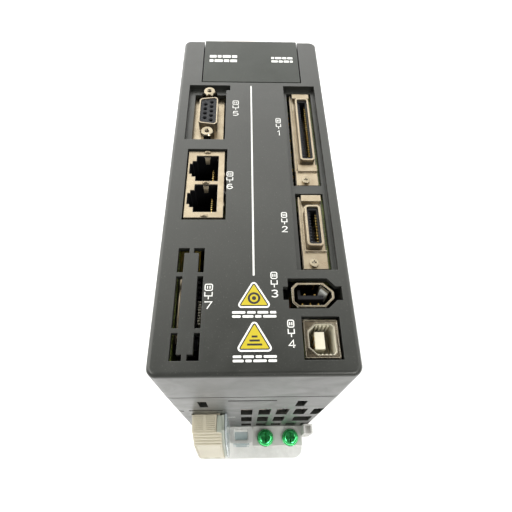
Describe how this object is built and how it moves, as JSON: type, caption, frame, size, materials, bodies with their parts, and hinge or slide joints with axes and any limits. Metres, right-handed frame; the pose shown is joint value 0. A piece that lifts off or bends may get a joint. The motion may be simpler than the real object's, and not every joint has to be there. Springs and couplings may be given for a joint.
{
  "type": "servo drive",
  "caption": "Book-shaped servo motor drive with signal sockets on its front, pluggable power connectors, a keypad and a fan-cooled finned back.",
  "frame": {"origin": "on the mounting surface, at the middle of the back plate", "axes": "+Z out of the front face, +Y to the top end as mounted on a wall, +X to the right seen from the front"},
  "size_m": [0.065, 0.1926, 0.162],
  "materials": {
    "case_grey": "fine moulded texture",
    "panel_grey": "fine moulded texture",
    "smoked_window": "polished smoked window",
    "black_plastic": "glass-filled plastic",
    "key_plate_silver": "silver lacquer",
    "lamp_red": "clear red",
    "board_green": "solder resist",
    "screw_steel": "zinc plated",
    "nickel": "nickel plated",
    "nickel_bright": "bright nickel",
    "insulator_grey": "moulded",
    "gold_contacts": "gold flashed",
    "ivory_plastic": "moulded",
    "header_green": "moulded",
    "plug_beige": "moulded",
    "latch_grey": "moulded",
    "clear_plastic": "translucent",
    "sink_aluminium": "cast",
    "plate_steel": "zinc plated",
    "ground_green": "green passivated",
    "pad_blue": "soft",
    "capacitor_sleeve": "shrink sleeve",
    "relay_blue": "moulded",
    "core_yellow": "tape wrapped",
    "copper_winding": "enamelled wire",
    "key_rubber": "satin"
  },
  "bodies": {
    "root": {"board_standoffs": "screw_steel", "bridge_rectifier": "black_plastic", "bus_capacitors": "capacitor_sleeve", "charge_lamp": "lamp_red", "clamp_insulator": "clear_plastic", "comm_board": "board_green", "comm_port_insulator": "black_plastic", "comm_port_shell": "nickel_bright", "connector_bracket_screws": "nickel_bright", "control_board": "board_green", "display_board": "board_green", "display_window": "smoked_window", "encoder_connector_contacts": "gold_contacts", "encoder_connector_insulator": "black_plastic", "encoder_connector_shell": "nickel", "fan_frame": "black_plastic", "fan_screws": "screw_steel", "field_bus_insulator": "insulator_grey", "field_bus_jackscrews": "nickel_bright", "field_bus_shell": "nickel", "filter_choke": "copper_winding", "front_cover": "case_grey", "ground_screws": "ground_green", "heat_sink": "sink_aluminium", "io_connector_contacts": "gold_contacts", "io_connector_insulator": "black_plastic", "io_connector_shell": "nickel", "key_plate": "key_plate_silver", "key_switches": "black_plastic", "led_display": "black_plastic", "motor_header": "header_green", "mounting_plate": "plate_steel", "network_jack_body": "black_plastic", "network_jack_contacts": "gold_contacts", "network_jack_shield": "nickel", "operation_panel": "panel_grey", "option_connector": "black_plastic", "plate_screws": "screw_steel", "plug_guards": "clear_plastic", "power_board": "board_green", "power_module": "black_plastic", "power_pins": "nickel_bright", "rear_housing": "case_grey", "relay": "relay_blue", "shield_clamp": "plate_steel", "supply_header": "header_green", "thermal_pad": "pad_blue", "transformer": "core_yellow", "usb_insulator": "ivory_plastic", "usb_shell": "nickel"},
    "mode_key": {"mode_key": "key_rubber"},
    "shift_key": {"shift_key": "key_rubber"},
    "up_key": {"up_key": "key_rubber"},
    "down_key": {"down_key": "key_rubber"},
    "set_key": {"set_key": "key_rubber"},
    "motor_plug": {"motor_plug": "plug_beige", "motor_plug_latch": "latch_grey"},
    "supply_plug": {"supply_plug": "plug_beige", "supply_plug_latch": "latch_grey"},
    "fan_rotor": {"fan_rotor": "black_plastic"}
  },
  "joints": [
    {"name": "mode_key_press", "type": "slide", "parent": "root", "child": "mode_key", "axis": [0, -1, 0], "range_m": [0, 0.0008], "stiffness_N_per_m": 500, "springref_m": -0.001},
    {"name": "shift_key_press", "type": "slide", "parent": "root", "child": "shift_key", "axis": [0, -1, 0], "range_m": [0, 0.0008], "stiffness_N_per_m": 500, "springref_m": -0.001},
    {"name": "up_key_press", "type": "slide", "parent": "root", "child": "up_key", "axis": [0, -1, 0], "range_m": [0, 0.0008], "stiffness_N_per_m": 500, "springref_m": -0.001},
    {"name": "down_key_press", "type": "slide", "parent": "root", "child": "down_key", "axis": [0, -1, 0], "range_m": [0, 0.0008], "stiffness_N_per_m": 500, "springref_m": -0.001},
    {"name": "set_key_press", "type": "slide", "parent": "root", "child": "set_key", "axis": [0, -1, 0], "range_m": [0, 0.0008], "stiffness_N_per_m": 500, "springref_m": -0.001},
    {"name": "motor_plug_pull", "type": "slide", "parent": "root", "child": "motor_plug", "axis": [0, -1, 0], "range_m": [0, 0.025]},
    {"name": "supply_plug_pull", "type": "slide", "parent": "root", "child": "supply_plug", "axis": [0, 1, 0], "range_m": [0, 0.025]},
    {"name": "fan_spin", "type": "hinge", "parent": "root", "child": "fan_rotor", "pos_m": [0, 0.0738, 0.0223], "axis": [0, 1, 0], "continuous": true}
  ]
}
